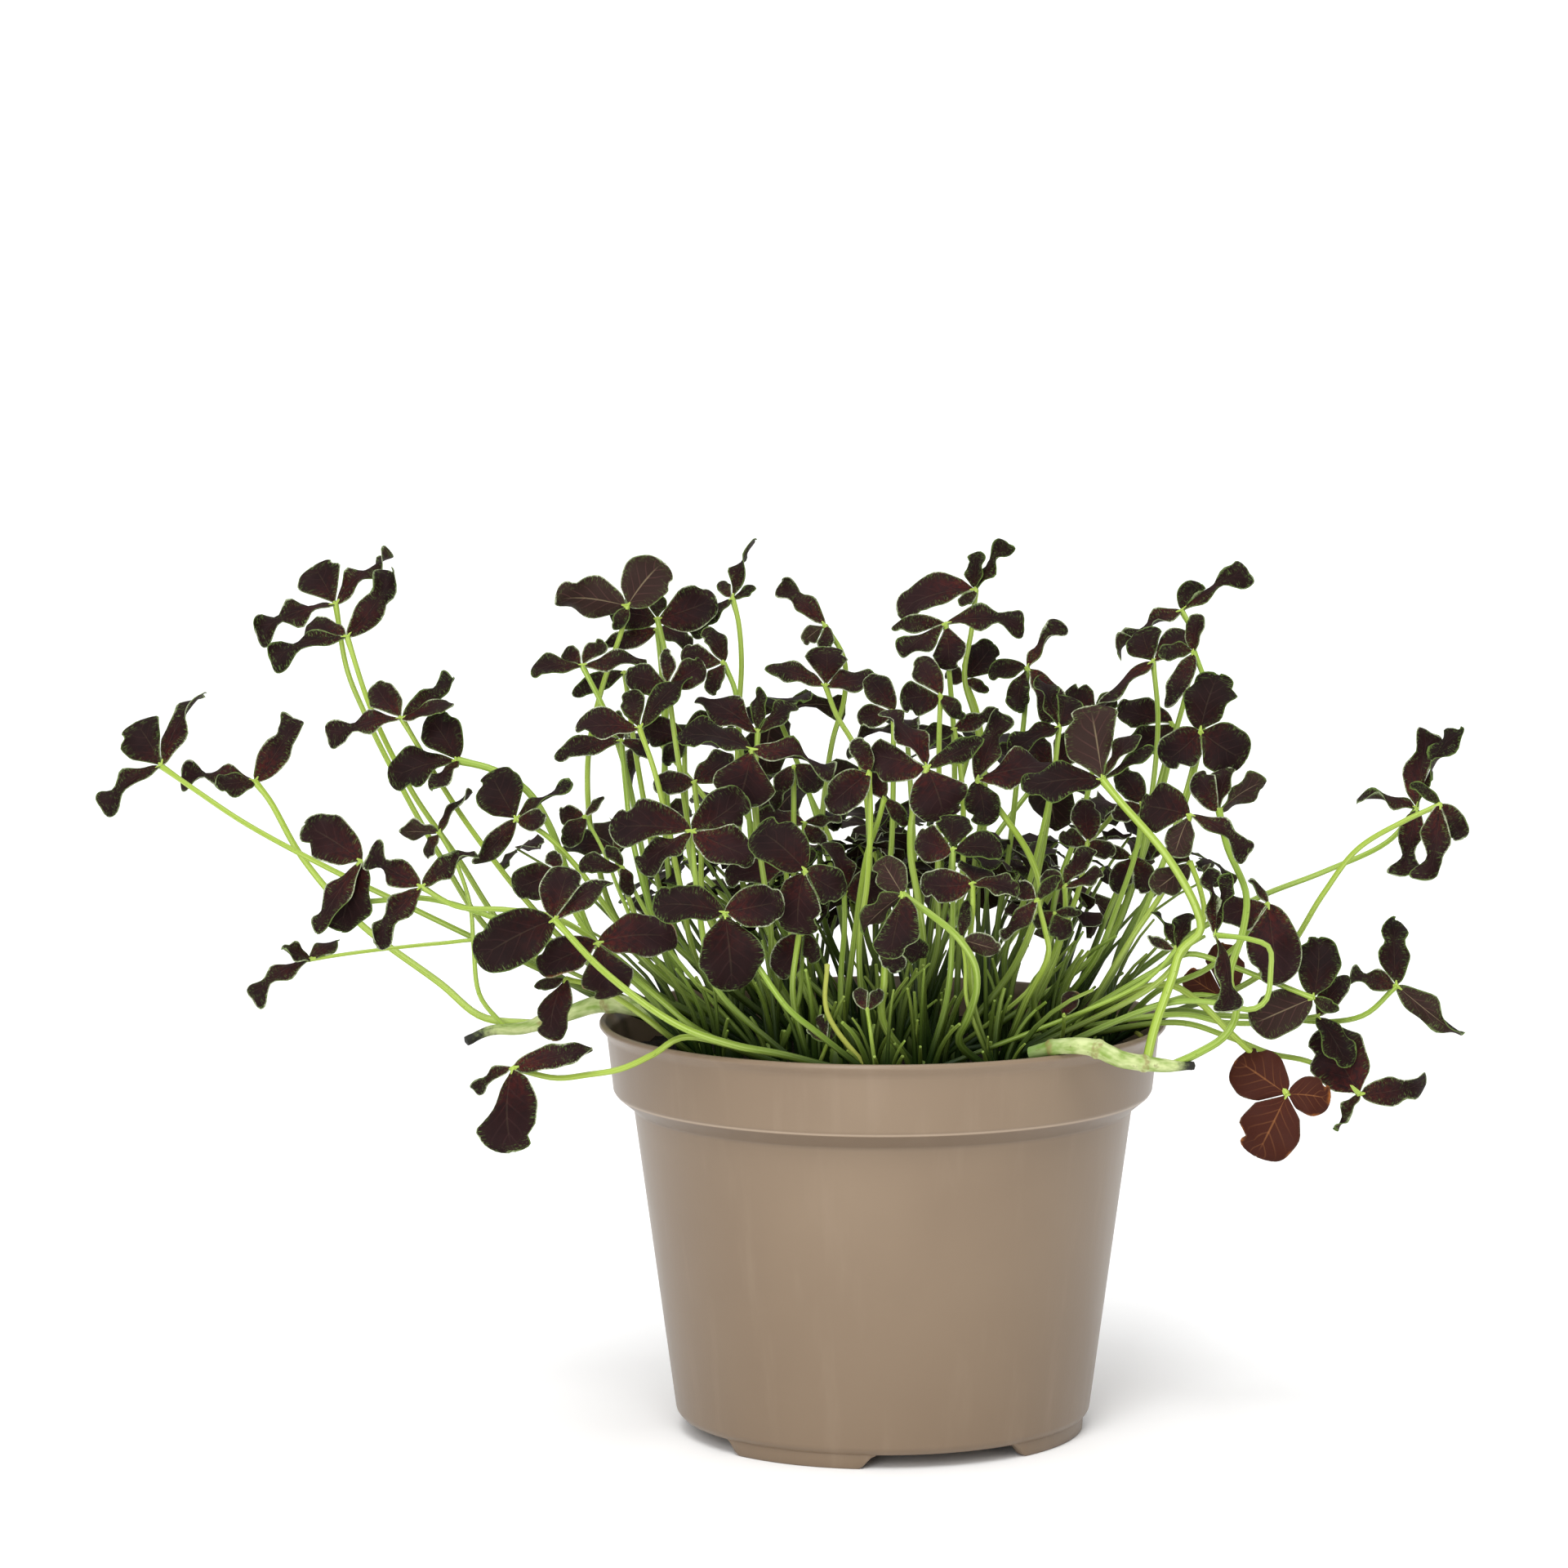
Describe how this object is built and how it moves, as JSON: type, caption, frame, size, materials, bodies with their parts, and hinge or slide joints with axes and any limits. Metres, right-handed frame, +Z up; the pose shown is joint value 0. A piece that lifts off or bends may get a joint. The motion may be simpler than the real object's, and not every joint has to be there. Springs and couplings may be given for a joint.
{
  "type": "potted white clover",
  "caption": "Dark-leaved white clover in a round tapered grower's pot: leaflets on long thin stalks and two creeping stems over soil, standing on moulded feet.",
  "frame": {"origin": "on the ground under the middle of the whole object's box", "axes": "+Z up; the front of the pot and plant faces -Y; the plant spreads widest along X"},
  "size_m": [0.2882, 0.1746, 0.1868],
  "materials": {
    "plastic": "taupe moulded plastic with a soft sheen",
    "soil": null,
    "leaf": "thin matt burgundy-brown leaflets with a pale green margin",
    "stalk": "smooth yellow-green stalks and paler creeping stems"
  },
  "bodies": {
    "root": {"crown_01": "leaf", "crown_02": "leaf", "crown_03": "leaf", "crown_04": "leaf", "crown_05": "leaf", "crown_06": "leaf", "crown_07": "leaf", "crown_08": "leaf", "crown_09": "leaf", "crown_10": "leaf", "crown_11": "leaf", "crown_12": "leaf", "crown_13": "leaf", "crown_14": "leaf", "crown_15": "leaf", "crown_16": "leaf", "crown_17": "leaf", "crown_18": "leaf", "crown_19": "leaf", "crown_20": "leaf", "crown_21": "leaf", "crown_22": "leaf", "crown_23": "leaf", "crown_24": "leaf", "crown_25": "leaf", "crown_26": "leaf", "crown_27": "leaf", "crown_28": "leaf", "crown_29": "leaf", "crown_30": "leaf", "crown_31": "leaf", "crown_32": "leaf", "crown_33": "leaf", "crown_34": "leaf", "crown_35": "leaf", "crown_37": "leaf", "pot": "plastic", "soil": "soil", "stolon_left": "stalk", "stolon_right": "stalk"}
  },
  "joints": []
}
